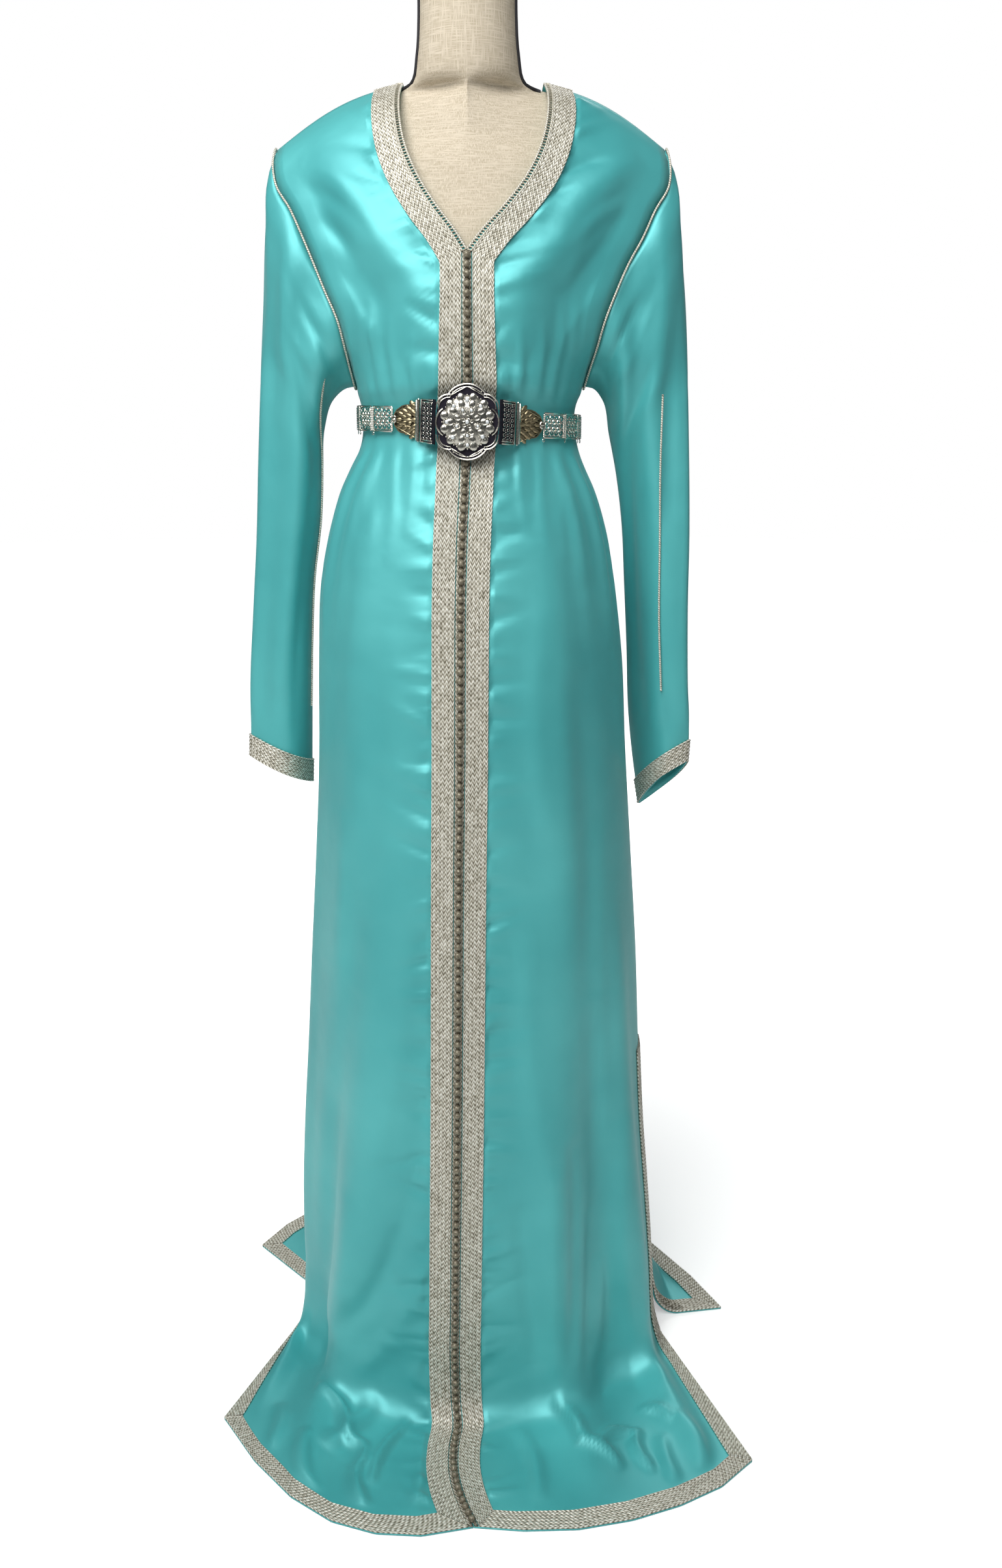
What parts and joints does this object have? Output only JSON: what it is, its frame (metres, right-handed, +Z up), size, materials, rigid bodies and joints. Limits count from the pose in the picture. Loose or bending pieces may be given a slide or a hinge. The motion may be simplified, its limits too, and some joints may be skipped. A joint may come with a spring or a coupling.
{
  "type": "moroccan kaftan on a limbless dress form",
  "caption": "Floor-length turquoise satin kaftan with silver braid, a button front and a metal belt, on a limbless dress form with a round stand.",
  "frame": {"origin": "centre of the underside of the stand's round base, on the floor under the dress form's axis", "axes": "+Z up the garment, -Y out of its button front, +X to the right of someone who faces the front"},
  "size_m": [0.647, 0.7251, 1.6503],
  "materials": {
    "satin": "satin",
    "silver_braid": "metallic thread",
    "silver_cord": "metallic thread",
    "belt_silver": "cast silver-coloured metal, darkened in its hollows",
    "belt_bronze": "aged",
    "form_linen": "matt linen",
    "stand_steel": "black satin",
    "cap_wood": "satin"
  },
  "bodies": {
    "root": {"armhole_cord_left": "silver_cord", "armhole_cord_right": "silver_cord", "back": "satin", "belt_link_01": "belt_silver", "belt_link_02": "belt_silver", "belt_link_03": "belt_silver", "belt_link_04": "belt_silver", "belt_link_05": "belt_silver", "belt_link_06": "belt_silver", "belt_link_07": "belt_silver", "belt_link_08": "belt_silver", "belt_link_09": "belt_silver", "belt_link_10": "belt_silver", "belt_link_11": "belt_silver", "belt_link_12": "belt_silver", "belt_link_13": "belt_silver", "belt_link_14": "belt_silver", "belt_link_15": "belt_silver", "belt_link_16": "belt_silver", "braid_back_hem": "silver_braid", "braid_back_neck": "silver_braid", "braid_front_left": "silver_braid", "braid_front_right": "silver_braid", "buckle_dome": "belt_silver", "buckle_plate": "belt_silver", "button_row": "silver_cord", "cuff_braid_left": "silver_braid", "cuff_braid_right": "silver_braid", "fan_left": "belt_bronze", "fan_right": "belt_bronze", "form_torso": "form_linen", "front_left": "satin", "front_right": "satin", "hinge_bar_left": "belt_silver", "hinge_bar_right": "belt_silver", "neck_cap": "cap_wood", "picot_left": "silver_braid", "picot_right": "silver_braid", "sleeve_cord_left": "silver_cord", "sleeve_cord_right": "silver_cord", "sleeve_left": "satin", "sleeve_right": "satin", "stand_base": "stand_steel", "stand_pole": "stand_steel", "wing_left": "belt_silver", "wing_right": "belt_silver"}
  },
  "joints": []
}
